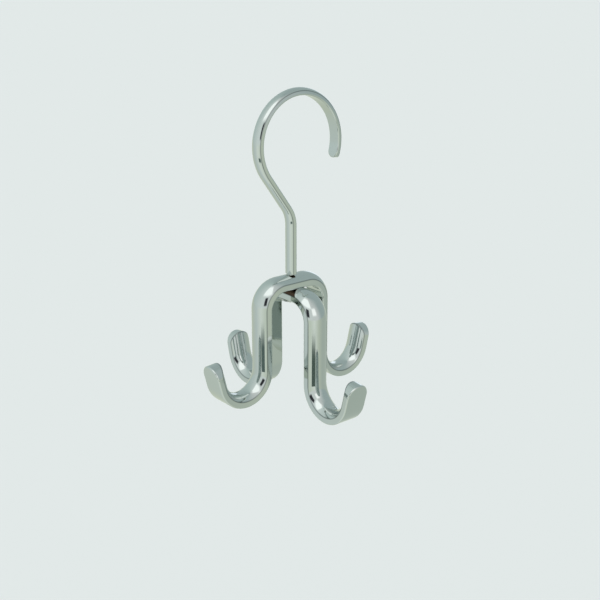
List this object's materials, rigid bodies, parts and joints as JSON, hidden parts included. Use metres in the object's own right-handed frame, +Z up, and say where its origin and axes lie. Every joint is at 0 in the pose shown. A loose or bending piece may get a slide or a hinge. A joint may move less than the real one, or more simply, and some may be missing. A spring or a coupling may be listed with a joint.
{
  "type": "tie hanger",
  "caption": "Swivelling closet-rod hanger for ties and belts: a crowned wire hook over crossed inverted-U bars whose legs end in upturned cups.",
  "frame": {"origin": "centre of the loop that goes over the closet rod, halfway across the wire", "axes": "+Z up, +Y along the loop's axis and the rod, +X in the loop's plane, away from the slanted stretch"},
  "size_m": [0.0974, 0.0974, 0.1535],
  "materials": {
    "chrome_hook": "polished chrome plate",
    "chrome_bar": "polished chrome plate",
    "washer_steel": "turned and nickel plated"
  },
  "bodies": {
    "hook": {"hanging_hook": "chrome_hook", "retaining_washer": "washer_steel"},
    "cluster": {"upper_double_hook": "chrome_bar", "lower_double_hook": "chrome_bar"}
  },
  "joints": [
    {"name": "swivel", "type": "hinge", "parent": "hook", "child": "cluster", "pos_m": [-0.0049, 0, -0.0623], "axis": [0, 0, 1], "continuous": true}
  ]
}
